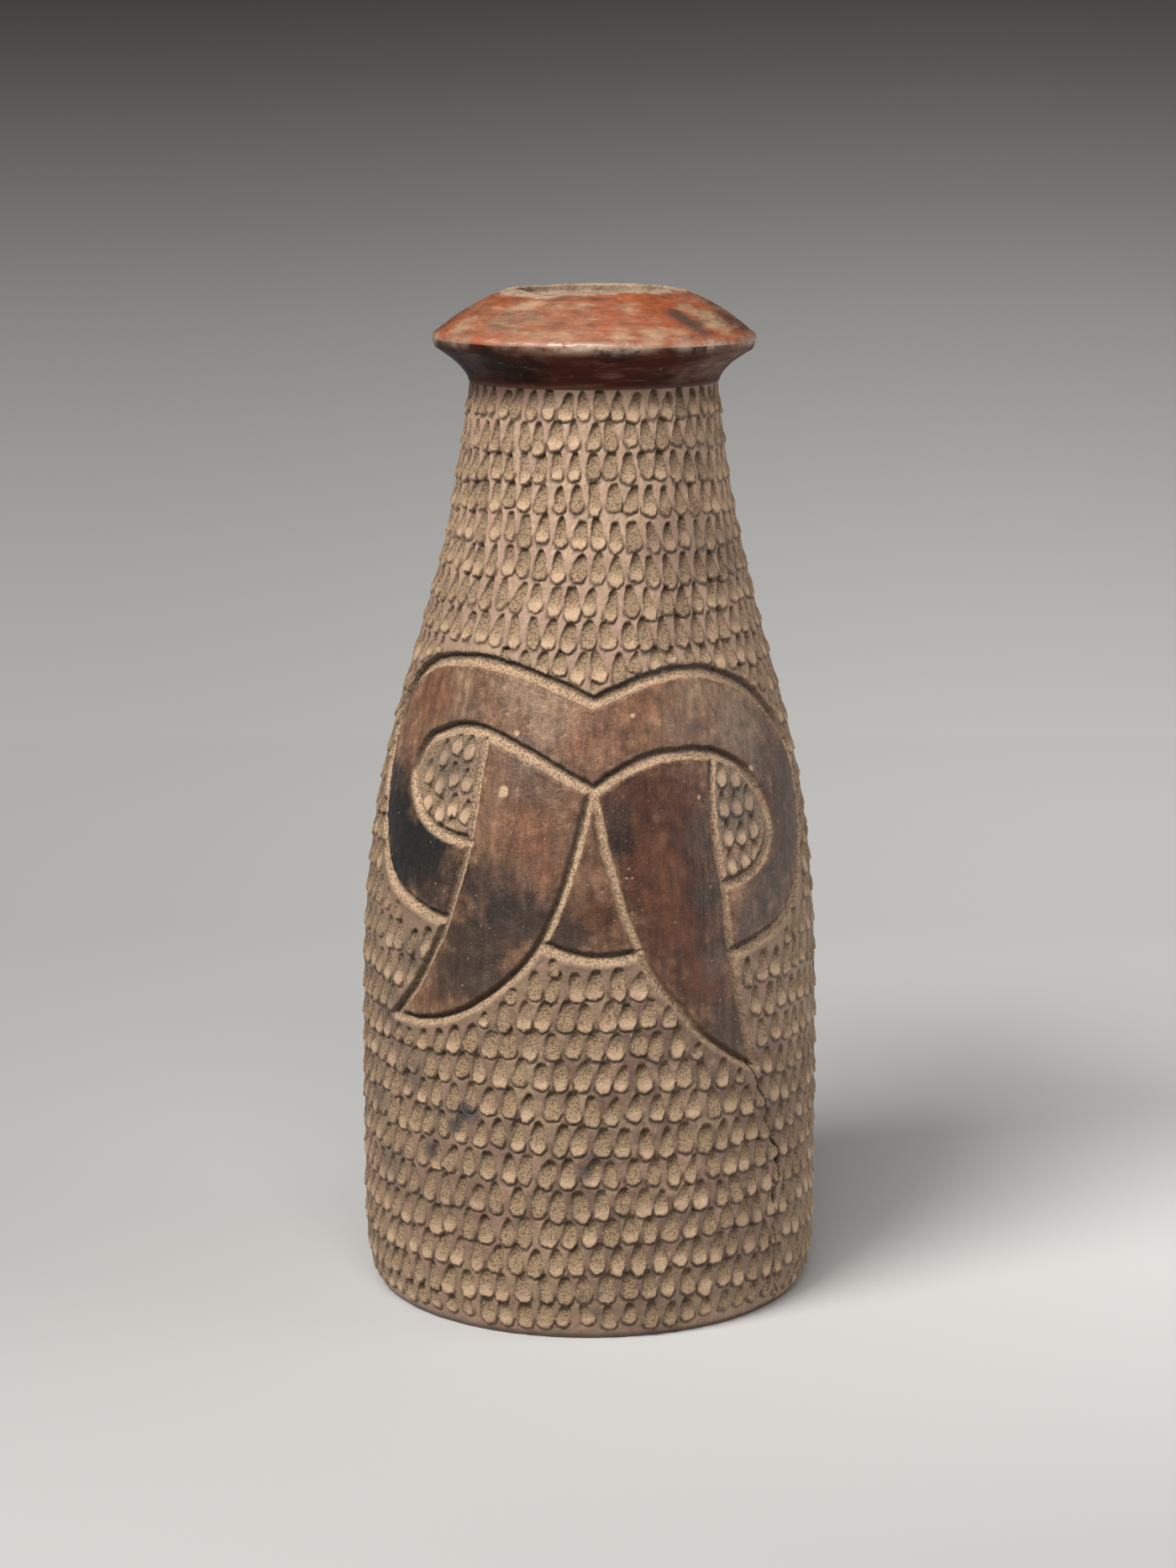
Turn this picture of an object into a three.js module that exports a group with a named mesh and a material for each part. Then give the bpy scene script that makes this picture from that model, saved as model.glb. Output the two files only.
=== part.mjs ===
// A hand-built clay bottle: a round floor slab, a stack of wall courses that lean in to a neck,
// and a collar with a sharp ridge whose top closes in to the mouth.
// Millimetres, +Z up. The origin is the centre of the foot, on the ground.
// Every seam is a flat ring at one height, so each ring of clay sits face to face on the one below.

import * as THREE from "three";

// Overall sizes
const BELLY_RADIUS = 68.2;
const FOOT_RADIUS = 64;
const FLOOR_THICKNESS = 9;
const NECK_RADIUS = 36.4;
const NECK_TOP = 272;
const RIDGE_RADIUS = 47.5;
const MOUTH_RADIUS = 22;

// Clay thickness
const WALL = 7;
const COLLAR_WALL = 6;

// Foot: the wall rounds out from the foot ring to the full belly over this height
const FOOT_CURVE_HEIGHT = 20;
const FOOT_CURVE_BULGE_RADIUS = 67.6;
const FOOT_CURVE_BULGE_HEIGHT = 5;

// Shoulder: one long curve from the upright belly to the neck
const SHOULDER_START = 73.5;
const SHOULDER_HANDLE = 113;
const NECK_HANDLE = 90;
const NECK_FLARE_PER_MM = 0.105;

// Collar heights, each measured from the seam or edge below it
const FLARE_HEIGHT = 9.8;
const RIDGE_HALF_HEIGHT = 2.7;
const TOP_SLOPE_HEIGHT = 9.2;
const LIP_HEIGHT = 3.6;

// Collar widths
const FLARE_HOLLOW = 2.1;
const FLARE_HOLLOW_HEIGHT = 5.3;
const RIDGE_ROUNDING = 1.1;
const LIP_WIDTH_AT_SEAM = 9;
const LIP_WIDTH_AT_EDGE = 5.5;
const LIP_WIDTH_ON_TOP = 4;
const LIP_BEVEL_HEIGHT = 1.4;
const LIP_DEPTH_INSIDE = 2.6;

// Make-up
const COURSES = 10;
const STEPS_PER_COURSE = 2;
const CURVE_STEPS = 5;
const SIDES = 64;

// Heights that follow from the sizes above
const RIDGE_UNDER_EDGE = NECK_TOP + FLARE_HEIGHT;
const RIDGE_SEAM = RIDGE_UNDER_EDGE + RIDGE_HALF_HEIGHT;
const RIDGE_TOP_EDGE = RIDGE_SEAM + RIDGE_HALF_HEIGHT;
const LIP_SEAM = RIDGE_TOP_EDGE + TOP_SLOPE_HEIGHT;
const OVERALL_HEIGHT = LIP_SEAM + LIP_HEIGHT;
const COURSE_HEIGHT = (NECK_TOP - FLOOR_THICKNESS) / COURSES;
const COLLAR_THROAT_RADIUS = NECK_RADIUS - WALL;
const RIDGE_INNER_RADIUS = RIDGE_RADIUS - COLLAR_WALL - RIDGE_ROUNDING;

// Surface colours, by the zone that each ring of clay belongs to
const GROUND_CLAY = new THREE.MeshStandardMaterial({ color: 0x9c7b66, roughness: 0.8, metalness: 0 });
const SMOOTHED_CLAY = new THREE.MeshStandardMaterial({ color: 0x7a4a3a, roughness: 0.6, metalness: 0 });
const DARK_SLIP = new THREE.MeshStandardMaterial({ color: 0x4a2c24, roughness: 0.5, metalness: 0 });
const RED_SLIP = new THREE.MeshStandardMaterial({ color: 0xb5694a, roughness: 0.55, metalness: 0 });
const BROKEN_CLAY = new THREE.MeshStandardMaterial({ color: 0xc0a184, roughness: 0.95, metalness: 0 });

const point = (radius, height) => new THREE.Vector2(radius, height);

const FOOT_CURVE = new THREE.QuadraticBezierCurve(
  point(FOOT_RADIUS, 0),
  point(FOOT_CURVE_BULGE_RADIUS, FOOT_CURVE_BULGE_HEIGHT),
  point(BELLY_RADIUS, FOOT_CURVE_HEIGHT),
);

const SHOULDER_CURVE = new THREE.CubicBezierCurve(
  point(BELLY_RADIUS, SHOULDER_START),
  point(BELLY_RADIUS, SHOULDER_START + SHOULDER_HANDLE),
  point(NECK_RADIUS + NECK_HANDLE * NECK_FLARE_PER_MM, NECK_TOP - NECK_HANDLE),
  point(NECK_RADIUS, NECK_TOP),
);

// Radius of a rising curve at a height, found by halving the curve's span
function radiusOnCurve(curve, height) {
  let low = 0;
  let high = 1;
  for (let i = 0; i < 40; i += 1) {
    const middle = (low + high) / 2;
    if (curve.getPoint(middle).y < height) low = middle;
    else high = middle;
  }
  return curve.getPoint((low + high) / 2).x;
}

// Outer radius of the body at a height, from the foot to the neck seam
function bodyRadius(height) {
  if (height <= 0) return FOOT_RADIUS;
  if (height < FOOT_CURVE_HEIGHT) return radiusOnCurve(FOOT_CURVE, height);
  if (height <= SHOULDER_START) return BELLY_RADIUS;
  if (height < NECK_TOP) return radiusOnCurve(SHOULDER_CURVE, height);
  return NECK_RADIUS;
}

// Heights that cut a span into equal steps, both ends included
function stepped(low, high, steps) {
  return Array.from({ length: steps + 1 }, (_, i) => low + ((high - low) * i) / steps);
}

// A ring of clay turned round the bottle's axis. The outline climbs the outside from the bottom
// seam, comes back down the inside, and closes on its own first point.
function ring(name, material, outside, inside) {
  const outline = [...outside, ...[...inside].reverse(), outside[0]];
  const mesh = new THREE.Mesh(new THREE.LatheGeometry(outline, SIDES), material);
  mesh.geometry.rotateX(Math.PI / 2);
  mesh.name = name;
  return mesh;
}

// The floor: a solid round slab that the first course stands on
function floorSlab() {
  const side = stepped(0, FLOOR_THICKNESS, STEPS_PER_COURSE).map((z) => point(bodyRadius(z), z));
  const outline = [point(0, 0), ...side, point(0, FLOOR_THICKNESS)];
  const mesh = new THREE.Mesh(new THREE.LatheGeometry(outline, SIDES), GROUND_CLAY);
  mesh.geometry.rotateX(Math.PI / 2);
  mesh.name = "floor_slab";
  return mesh;
}

// One wall course, counted from 1 at the floor
function wallCourse(number) {
  const low = FLOOR_THICKNESS + (number - 1) * COURSE_HEIGHT;
  const high = FLOOR_THICKNESS + number * COURSE_HEIGHT;
  const heights = stepped(low, high, STEPS_PER_COURSE);
  const outside = heights.map((z) => point(bodyRadius(z), z));
  const inside = heights.map((z) => point(bodyRadius(z) - WALL, z));
  const name = "wall_course_" + String(number).padStart(2, "0");
  return ring(name, number === COURSES ? SMOOTHED_CLAY : GROUND_CLAY, outside, inside);
}

// The underside of the collar, flaring out from the neck seam to the middle of the ridge
function collarFlare() {
  const hollow = new THREE.QuadraticBezierCurve(
    point(NECK_RADIUS, NECK_TOP),
    point(NECK_RADIUS + FLARE_HOLLOW, NECK_TOP + FLARE_HOLLOW_HEIGHT),
    point(RIDGE_RADIUS - RIDGE_ROUNDING, RIDGE_UNDER_EDGE),
  );
  const outside = [...hollow.getPoints(CURVE_STEPS), point(RIDGE_RADIUS, RIDGE_SEAM)];
  const inside = [point(COLLAR_THROAT_RADIUS, NECK_TOP), point(RIDGE_INNER_RADIUS, RIDGE_SEAM)];
  return ring("collar_flare", DARK_SLIP, outside, inside);
}

// The top of the collar, sloping in from the ridge to the seam of the lip
function collarTop() {
  const outside = [
    point(RIDGE_RADIUS, RIDGE_SEAM),
    point(RIDGE_RADIUS - RIDGE_ROUNDING / 2, RIDGE_TOP_EDGE),
    point(MOUTH_RADIUS + LIP_WIDTH_AT_SEAM, LIP_SEAM),
  ];
  const inside = [
    point(RIDGE_INNER_RADIUS, RIDGE_SEAM),
    point(MOUTH_RADIUS, LIP_SEAM - LIP_DEPTH_INSIDE),
    point(MOUTH_RADIUS, LIP_SEAM),
  ];
  return ring("collar_top", RED_SLIP, outside, inside);
}

// The worn lip round the mouth
function mouthLip() {
  const outside = [
    point(MOUTH_RADIUS + LIP_WIDTH_AT_SEAM, LIP_SEAM),
    point(MOUTH_RADIUS + LIP_WIDTH_AT_EDGE, OVERALL_HEIGHT - LIP_BEVEL_HEIGHT),
    point(MOUTH_RADIUS + LIP_WIDTH_ON_TOP, OVERALL_HEIGHT),
  ];
  const inside = [point(MOUTH_RADIUS, LIP_SEAM), point(MOUTH_RADIUS, OVERALL_HEIGHT)];
  return ring("mouth_lip", BROKEN_CLAY, outside, inside);
}

const bottle = new THREE.Group();
bottle.add(floorSlab());
for (let number = 1; number <= COURSES; number += 1) bottle.add(wallCourse(number));
bottle.add(collarFlare(), collarTop(), mouthLip());

export default bottle;
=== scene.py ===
import math

import bpy
import numpy as np
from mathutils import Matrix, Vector


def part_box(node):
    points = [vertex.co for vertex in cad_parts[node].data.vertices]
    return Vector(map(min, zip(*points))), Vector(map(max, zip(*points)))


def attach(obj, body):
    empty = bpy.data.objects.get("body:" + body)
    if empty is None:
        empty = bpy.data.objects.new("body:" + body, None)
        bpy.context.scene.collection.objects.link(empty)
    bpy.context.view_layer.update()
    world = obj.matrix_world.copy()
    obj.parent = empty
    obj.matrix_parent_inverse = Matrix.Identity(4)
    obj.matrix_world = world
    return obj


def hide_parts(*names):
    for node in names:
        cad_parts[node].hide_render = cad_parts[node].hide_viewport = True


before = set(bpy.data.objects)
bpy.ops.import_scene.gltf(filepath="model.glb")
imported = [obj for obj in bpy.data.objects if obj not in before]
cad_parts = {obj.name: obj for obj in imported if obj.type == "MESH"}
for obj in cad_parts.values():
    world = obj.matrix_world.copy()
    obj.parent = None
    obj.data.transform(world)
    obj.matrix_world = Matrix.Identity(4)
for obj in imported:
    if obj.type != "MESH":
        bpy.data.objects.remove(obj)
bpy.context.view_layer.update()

# A hand-built clay bottle. Sizes below are millimetres unless a name says otherwise, and angles
# go round the bottle's axis in degrees: 0 faces the front (-Y) and 90 is the right side (+X).
MM = 0.001


def node_span(node):
    """Lowest height, highest height and largest radius of a CAD node, in millimetres."""
    low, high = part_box(node)
    return low[2] / MM, high[2] / MM, high[0] / MM


COURSES = 10
COURSE_NAMES = [f"wall_course_{number:02d}" for number in range(1, COURSES + 1)]

# Sizes that the frame gives
FLOOR_TOP = node_span("floor_slab")[1]
BELLY_RADIUS = node_span("wall_course_02")[2]
NECK_TOP = node_span(COURSE_NAMES[-1])[1]
RIDGE_SEAM = node_span("collar_flare")[1]
RIDGE_RADIUS = node_span("collar_flare")[2]
LIP_SEAM = node_span("collar_top")[1]
MOUTH_TOP = node_span("mouth_lip")[1]
LIP_OUTER_RADIUS = node_span("mouth_lip")[2]

# Sizes that follow the CAD's source
WALL = 7.0
FOOT_RADIUS = 64.0
FOOT_CURVE_BULGE = (67.6, 5.0)
FOOT_CURVE_HEIGHT = 20.0
SHOULDER_START = 73.5
SHOULDER_HANDLE = 113.0
NECK_RADIUS = 36.4
NECK_HANDLE = 90.0
NECK_FLARE_PER_MM = 0.105
COLLAR_WALL = 6.0
RIDGE_ROUNDING = 1.1
RIDGE_INNER_RADIUS = RIDGE_RADIUS - COLLAR_WALL - RIDGE_ROUNDING
MOUTH_RADIUS = 22.0
LIP_DEPTH_INSIDE = 2.6

# Fineness of the meshes
COLUMNS = 1280
ROWS_PER_COURSE = 63
SLAB_ROWS = 22
INNER_ROWS = 6
COLLAR_STEP = 0.42
FOOT_CURVE_POINTS = 200
SHOULDER_CURVE_POINTS = 1000

# Noise: cells along each side of its block, and how far each octave is moved on from the last
NOISE_CELLS = 32
NOISE_SHIFT = 13.7

ANGLES = np.radians(np.arange(COLUMNS) * 360.0 / COLUMNS - 180.0)


def bezier(points, count):
    """Points along a quadratic or cubic Bezier curve."""
    t = np.linspace(0, 1, count)[:, None]
    points = [np.array(p, float) for p in points]
    while len(points) > 1:
        points = [a * (1 - t) + b * t for a, b in zip(points, points[1:])]
    return points[0]


FOOT_CURVE = bezier(
    [(FOOT_RADIUS, 0), FOOT_CURVE_BULGE, (BELLY_RADIUS, FOOT_CURVE_HEIGHT)],
    FOOT_CURVE_POINTS,
)
SHOULDER_CURVE = bezier(
    [
        (BELLY_RADIUS, SHOULDER_START),
        (BELLY_RADIUS, SHOULDER_START + SHOULDER_HANDLE),
        (NECK_RADIUS + NECK_HANDLE * NECK_FLARE_PER_MM, NECK_TOP - NECK_HANDLE),
        (NECK_RADIUS, NECK_TOP),
    ],
    SHOULDER_CURVE_POINTS,
)
BODY_CURVE = np.vstack([FOOT_CURVE, SHOULDER_CURVE])


def body_radius(height):
    return np.interp(height, BODY_CURVE[:, 1], BODY_CURVE[:, 0])


def inner_radius(height):
    return body_radius(height) - WALL


SLAB_HEIGHTS = np.linspace(0, FLOOR_TOP, SLAB_ROWS + 1)
WALL_HEIGHTS = np.linspace(FLOOR_TOP, NECK_TOP, COURSES * ROWS_PER_COURSE + 1)
HEIGHTS = np.concatenate([SLAB_HEIGHTS[:-1], WALL_HEIGHTS])
RADII = body_radius(HEIGHTS)


def smooth_step(low, high, value):
    share = np.clip((value - low) / (high - low), 0, 1)
    return share * share * (3 - 2 * share)


def hump(value, centre, spread):
    """A bell curve: 1 at the centre."""
    return np.exp(-(((value - centre) / spread) ** 2))


def noise(place, scale, octaves, seed):
    """Value noise, the same on every run. The first octave lies between -1 and 1 with blobs as
    large as scale, and each further one is half as large and half as strong."""
    cells = np.random.default_rng(seed).uniform(-1, 1, (NOISE_CELLS, NOISE_CELLS, NOISE_CELLS))
    total = np.zeros(place[0].shape)
    weight = 1.0
    for octave in range(octaves):
        parts = []
        for axis in place:
            at = axis * 2**octave / scale + NOISE_SHIFT * (octave + 1)
            cell = np.floor(at).astype(int)
            share = at - cell
            near, far = cell % NOISE_CELLS, (cell + 1) % NOISE_CELLS
            parts.append((near, far, share * share * (3 - 2 * share)))
        (x0, x1, u), (y0, y1, v), (z0, z1, w) = parts
        low = (cells[x0, y0, z0] * (1 - u) + cells[x1, y0, z0] * u) * (1 - v)
        low += (cells[x0, y1, z0] * (1 - u) + cells[x1, y1, z0] * u) * v
        high = (cells[x0, y0, z1] * (1 - u) + cells[x1, y0, z1] * u) * (1 - v)
        high += (cells[x0, y1, z1] * (1 - u) + cells[x1, y1, z1] * u) * v
        total += weight * (low * (1 - w) + high * w)
        weight *= 0.5
    return total


BODY_PLACE = (
    RADII[:, None] * np.sin(ANGLES),
    -RADII[:, None] * np.cos(ANGLES),
    np.repeat(HEIGHTS[:, None], COLUMNS, 1),
)

# The incised band, as (angle, height) points along each line
OUTER_LEFT = [
    (0.5, 185.3), (-11.5, 190.0), (-24.5, 193.6), (-38, 195.2), (-51, 194.3), (-62, 191.6),
    (-72, 185), (-76, 175), (-76, 163), (-73.5, 152.7), (-70, 142.7), (-64.7, 133.4),
    (-58.7, 127.7), (-46.4, 123.1), (-39.7, 121.7),
]
OUTER_RIGHT = [
    (0.5, 185.3), (8.5, 188.6), (17.2, 191.3), (26.1, 192.7), (34.8, 192.7), (43.9, 190.5),
    (53.8, 186.4), (62, 180.6), (70.6, 172.3), (76, 162.7), (76.3, 152), (74.1, 141.8),
    (70.3, 132), (65.2, 123.8), (57.6, 118.5), (50.5, 115.7), (43.6, 113.6), (37.6, 112.3),
]
INNER_LEFT = [
    (0.7, 161), (-5.9, 164.4), (-12.6, 168), (-19.9, 171.5), (-27.5, 174.5), (-34.6, 176.1),
    (-41.2, 176), (-47.9, 173.9), (-53.8, 170.6), (-57.6, 161.5), (-54.1, 154.6), (-49.2, 149.4),
    (-42.1, 146.2), (-33, 144.6),
]
INNER_RIGHT = [
    (0.7, 161), (5.9, 164.7), (11.8, 167.8), (18.7, 170), (26.7, 170.4), (34.3, 169.6),
    (39.4, 168), (44.5, 165.3), (49.3, 160.5), (53.1, 153.8), (54.5, 147.5), (53.4, 141.9),
    (49, 136.6), (42.9, 133.5), (36.8, 132.3),
]
LEFT_BLADE_OUTSIDE = [
    (-31.5, 173.9), (-32, 166), (-32.3, 156), (-33.1, 146), (-34.9, 135.6), (-37.1, 126.8),
    (-39.3, 119), (-43.5, 109.4), (-48.8, 99.6), (-56.2, 90.3),
]
LEFT_BLADE_INSIDE = [
    (0, 160.2), (-1.5, 152.8), (-3.4, 144.6), (-5.5, 136.3), (-8.3, 127.2), (-11.5, 118.7),
    (-15.7, 111.6), (-20.1, 106.2), (-25.4, 101.1), (-31.9, 96.2), (-39.1, 92.7), (-47.3, 90.7),
    (-56.2, 90.3),
]
RIGHT_BLADE_INSIDE = [
    (0.7, 159.8), (2, 154.4), (3.4, 146.2), (5.5, 138), (7.9, 127.9), (10.5, 120.4), (13.3, 111.8),
    (16.9, 105.5), (22.2, 98), (27.6, 90.5), (33.6, 84.8), (41, 79.3), (45.7, 77.2),
]
RIGHT_BLADE_OUTSIDE = [
    (36.5, 169), (34.8, 160.8), (34.3, 152.3), (34.5, 143.9), (35.7, 135.4), (36.4, 126.8),
    (36.8, 118.2), (38.1, 109.5), (39.2, 100.6), (41, 91.6), (43, 83), (45.7, 77.2),
]
WEB_FOOT = [(-11.8, 117.4), (-5.3, 114.7), (0.4, 113.6), (6.1, 113.7), (12, 114.8)]
CRACK = [
    (43, 78.4), (48.4, 66.7), (50.5, 57.2), (54.3, 49.7), (55.2, 43.5), (53.7, 38.8), (53, 31.8),
    (53.6, 24), (53.4, 16.4), (54.7, 10.8), (57.2, 4.5), (58, 0.5),
]
# Each line with half its width
ARC_HALF_WIDTH = 1.8
BLADE_HALF_WIDTH = 1.45
NARROW_HALF_WIDTH = 1.3
CRACK_HALF_WIDTH = 0.3
ARCS = (OUTER_LEFT, OUTER_RIGHT, INNER_LEFT, INNER_RIGHT, WEB_FOOT)
GROOVES = [(line, ARC_HALF_WIDTH) for line in ARCS]
GROOVES += [(line, BLADE_HALF_WIDTH) for line in (LEFT_BLADE_OUTSIDE, LEFT_BLADE_INSIDE)]
GROOVES += [(line, NARROW_HALF_WIDTH) for line in (RIGHT_BLADE_INSIDE, RIGHT_BLADE_OUTSIDE)]

# How far from a line the distance to it is worked out
GROOVE_REACH = 5.0
CRACK_REACH = 2.0


def curve_through(points, step):
    """A smooth line through (angle, height) points, sampled every step millimetres."""
    points = np.array(points, float)
    padded = np.vstack([2 * points[0] - points[1], points, 2 * points[-1] - points[-2]])
    pieces = []
    for a, b, c, d in zip(padded, padded[1:], padded[2:], padded[3:]):
        length = math.hypot(math.radians(c[0] - b[0]) * BELLY_RADIUS, c[1] - b[1])
        t = np.linspace(0, 1, max(2, int(length / step)), endpoint=False)[:, None]
        cubic = (3 * b - a - 3 * c + d) * t**3
        square = (2 * a - 5 * b + 4 * c - d) * t**2
        pieces.append(0.5 * (2 * b + (c - a) * t + square + cubic))
    return np.vstack(pieces + [points[-1:]])


def window(angle, height, reach):
    """Row and column numbers of the surface within reach of a point, and the offsets to it."""
    column_step = 2 * math.pi * float(body_radius(height)) / COLUMNS
    column = (angle + 180.0) / 360.0 * COLUMNS
    half = int(reach / column_step) + 1
    columns = np.arange(int(round(column)) - half, int(round(column)) + half + 1)
    rows = np.arange(np.searchsorted(HEIGHTS, height - reach), np.searchsorted(HEIGHTS, height + reach))
    across = (columns - column) * column_step
    up = HEIGHTS[rows] - height
    return rows, columns % COLUMNS, across[None, :], up[:, None]


def line_distance(lines, reach, step):
    """Distance from each point of the surface to the edge of the nearest line, negative inside the
    line, up to reach. Each line comes with half its width, and is sampled every step."""
    field = np.full((len(HEIGHTS), COLUMNS), float(reach))
    for line, half_width in lines:
        for angle, height in curve_through(line, step):
            rows, columns, across, up = window(angle, height, reach + half_width)
            place = np.ix_(rows, columns)
            field[place] = np.minimum(field[place], np.hypot(across, up) - half_width)
    return field


def inside_outline(outline):
    """True where the surface lies inside a closed (angle, height) outline."""
    grid_angle = np.degrees(ANGLES)[None, :]
    grid_height = HEIGHTS[:, None]
    within = np.zeros((len(HEIGHTS), COLUMNS), bool)
    closed = np.vstack([outline, outline[:1]])
    for (a0, h0), (a1, h1) in zip(closed, closed[1:]):
        if h0 == h1:
            continue
        crosses = (h0 > grid_height) != (h1 > grid_height)
        at = a0 + (grid_height - h0) * (a1 - a0) / (h1 - h0)
        within ^= crosses & (grid_angle < at)
    return within


def joined(*lines):
    return np.vstack([curve_through(line, 1.0) for line in lines])


BAND_OUTLINE = joined(
    OUTER_LEFT,
    LEFT_BLADE_OUTSIDE[6:],
    LEFT_BLADE_INSIDE[:4:-1],
    WEB_FOOT,
    RIGHT_BLADE_INSIDE[6:],
    RIGHT_BLADE_OUTSIDE[:6:-1],
    OUTER_RIGHT[::-1],
)
LEFT_POCKET = joined(INNER_LEFT[4:], LEFT_BLADE_OUTSIDE[3::-1])
RIGHT_POCKET = joined(INNER_RIGHT[5:], RIGHT_BLADE_OUTSIDE[4::-1])

ragged = noise(BODY_PLACE, scale=1.9, octaves=3, seed=3)
crumbs = noise(BODY_PLACE, scale=0.95, octaves=2, seed=4)
groove_distance = line_distance(GROOVES, GROOVE_REACH, step=0.4)
crack_distance = line_distance([(CRACK, CRACK_HALF_WIDTH)], CRACK_REACH, step=0.3)
pockets = inside_outline(LEFT_POCKET) | inside_outline(RIGHT_POCKET)
band = inside_outline(BAND_OUTLINE) & ~pockets

# Tool gouges: sizes at the belly, at the shoulder and under the neck seam
GOUGE_LEVELS = [110.0, 200.0, 272.0]
GOUGE_PITCHES = [6.1, 5.5, 5.05]
GOUGE_LENGTHS = [9.2, 9.0, 8.9]
GOUGE_WIDTHS = [4.9, 4.5, 4.1]
GOUGE_ROW_STEP = 9.0
GOUGE_DEPTH = 1.3
GOUGE_LIP = 0.6
GOUGE_DISH = 0.3
GOUGE_REACH = 0.72
GOUGE_END_SQUARENESS = 2.4
LOWEST_GOUGE = 2.8
CREASE_DEPTH = 0.4
EDGE_ROUGHNESS = 0.26
CRUMBLING = 0.3

# How the hand strayed from gouge to gouge: shares of a step, millimetres, shares of a size, degrees
GOUGE_SEED = 11
ROW_STRAY = 0.12
SIDE_STRAY = 0.1
HEIGHT_STRAY = (-0.9, 0.6)
ROW_WAVE = 1.1
LENGTH_STRAY = (0.86, 1.08)
WIDTH_STRAY = (0.84, 1.1)
TILT_STRAY = (-3, 7)
STRENGTH_STRAY = (0.75, 1.15)

# Shape of a gouge: how fast its top widens, where its round end starts, how far it is torn
TAPER_RANGE = (0.24, 0.52)
BULB_RANGE = (0.54, 0.74)
TORN_RANGE = (0.35, 0.8)

# What is tried in turn where a gouge meets the band: a shift, and a share of its length
SQUEEZES = [(0.0, 1.0), (1.3, 0.75), (-1.3, 0.75), (2.4, 0.55), (-2.4, 0.55)]


def stamp_gouge(layers, angle, height, length, width, tilt, shape, strength):
    """Presses one gouge into the surface, centred on a point. The stick goes in at a pointed top
    and pushes the clay down into a round lip. Along runs from 0 at the top to 1 at the lip, and
    edge is the distance in from the gouge's rim."""
    relief, gouge, hollow, crease = layers
    rows, columns, across, up = window(angle, height, GOUGE_REACH * length)
    place = np.ix_(rows, columns)
    half = 0.5 * width
    taper, bulb_start, torn = shape
    side = across * math.cos(tilt) + up * math.sin(tilt)
    along = 0.5 - (up * math.cos(tilt) - across * math.sin(tilt)) / length
    tapered = 0.95 * (half * np.clip(along / bulb_start, 0, 1) ** taper - np.abs(side))
    bulb = np.clip((along - bulb_start) / (1 - bulb_start), 0, 2)
    power = GOUGE_END_SQUARENESS
    round_end = 1.2 * half * (1 - (bulb**power + np.abs(side / half) ** power) ** (1 / power))
    edge = np.where(along < bulb_start, tapered, round_end)
    edge = np.where(along < 0, -np.hypot(along * length, side) - 0.1, edge)
    edge = edge + EDGE_ROUGHNESS * ragged[place]
    edge = edge + CRUMBLING * crumbs[place] * smooth_step(0.5, 0.9, along)
    cover = smooth_step(-0.18, 0.2, edge)
    dome = 1 - np.clip(side / half, -1, 1) ** 2
    rise = 0.5 * smooth_step(0.1, 0.92, along) + 0.5 * np.clip((along - 0.06) / 0.8, 0, 1)
    entry = smooth_step(-0.02, 0.1, along)
    scoop = GOUGE_DEPTH * entry * (1 - rise) * (0.55 + 0.45 * dome)
    dished = GOUGE_DISH * dome * smooth_step(0.95, 0.6, along)
    floor = strength * (GOUGE_LIP * rise - scoop - dished)
    # Painted shade in the colour: dark along the ditch under the lip, along the inner rim and down the
    # top of the gouge, rim and top more on the left side
    ditch = hump(edge, -0.4, 0.4) * smooth_step(0.62, 0.9, along)
    left = smooth_step(0.6 * half, -0.4 * half, side)
    rim = hump(edge, 0.15, 0.34) * smooth_step(0.95, 0.6, along) * (0.4 + 0.6 * left)
    relief[place] -= CREASE_DEPTH * ditch * (1 - gouge[place])
    relief[place] = relief[place] * (1 - cover) + floor * cover
    gouge[place] = np.maximum(gouge[place], cover)
    shade = 0.62 * cover * smooth_step(0.6, 0.04, along) * (0.4 + 0.6 * left)
    dark = np.maximum(np.maximum(ditch, 0.8 * rim), shade)
    crease[place] = np.maximum(crease[place] * (1 - cover), strength * dark)
    upper = cover * (1 - smooth_step(torn, torn + 0.4, along))
    hollow[place] = hollow[place] * (1 - cover) + upper


def grid_place(angle, height):
    row = int(np.clip(np.searchsorted(HEIGHTS, height), 0, len(HEIGHTS) - 1))
    column = int(round((angle + 180.0) / 360.0 * COLUMNS)) % COLUMNS
    return row, column


def gouge_fits(angle, height, length):
    """A gouge keeps off the smooth band, and off every incised line."""
    for share, room in ((-0.5, -0.6), (0.0, 0.3), (0.5, -0.2)):
        place = grid_place(angle, height + share * length)
        if band[place] or pockets[place] or groove_distance[place] < room:
            return False
    return True


POCKET_GOUGE_LENGTH = 7.4
POCKET_GOUGE_WIDTH = 3.9
POCKET_GOUGE_STRENGTH = 0.8

# Middles of the gouges inside the two pockets, as (angle, height)
POCKET_GOUGES = [
    (-41.0, 172.0), (-36.4, 171.0), (-45.6, 168.6), (-50.6, 162.6), (-45.6, 160.6), (-40.8, 163.0),
    (-36.0, 162.0), (-49.2, 155.2), (-44.2, 152.6), (-39.6, 154.2), (-35.0, 153.2), (-39.8, 148.0),
    (38.6, 163.4), (43.2, 162.6), (38.0, 155.0), (42.6, 154.6), (47.4, 155.6), (38.6, 146.6),
    (43.2, 146.2), (48.0, 147.4), (39.0, 138.4), (43.6, 138.8), (48.0, 140.0),
]


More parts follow.
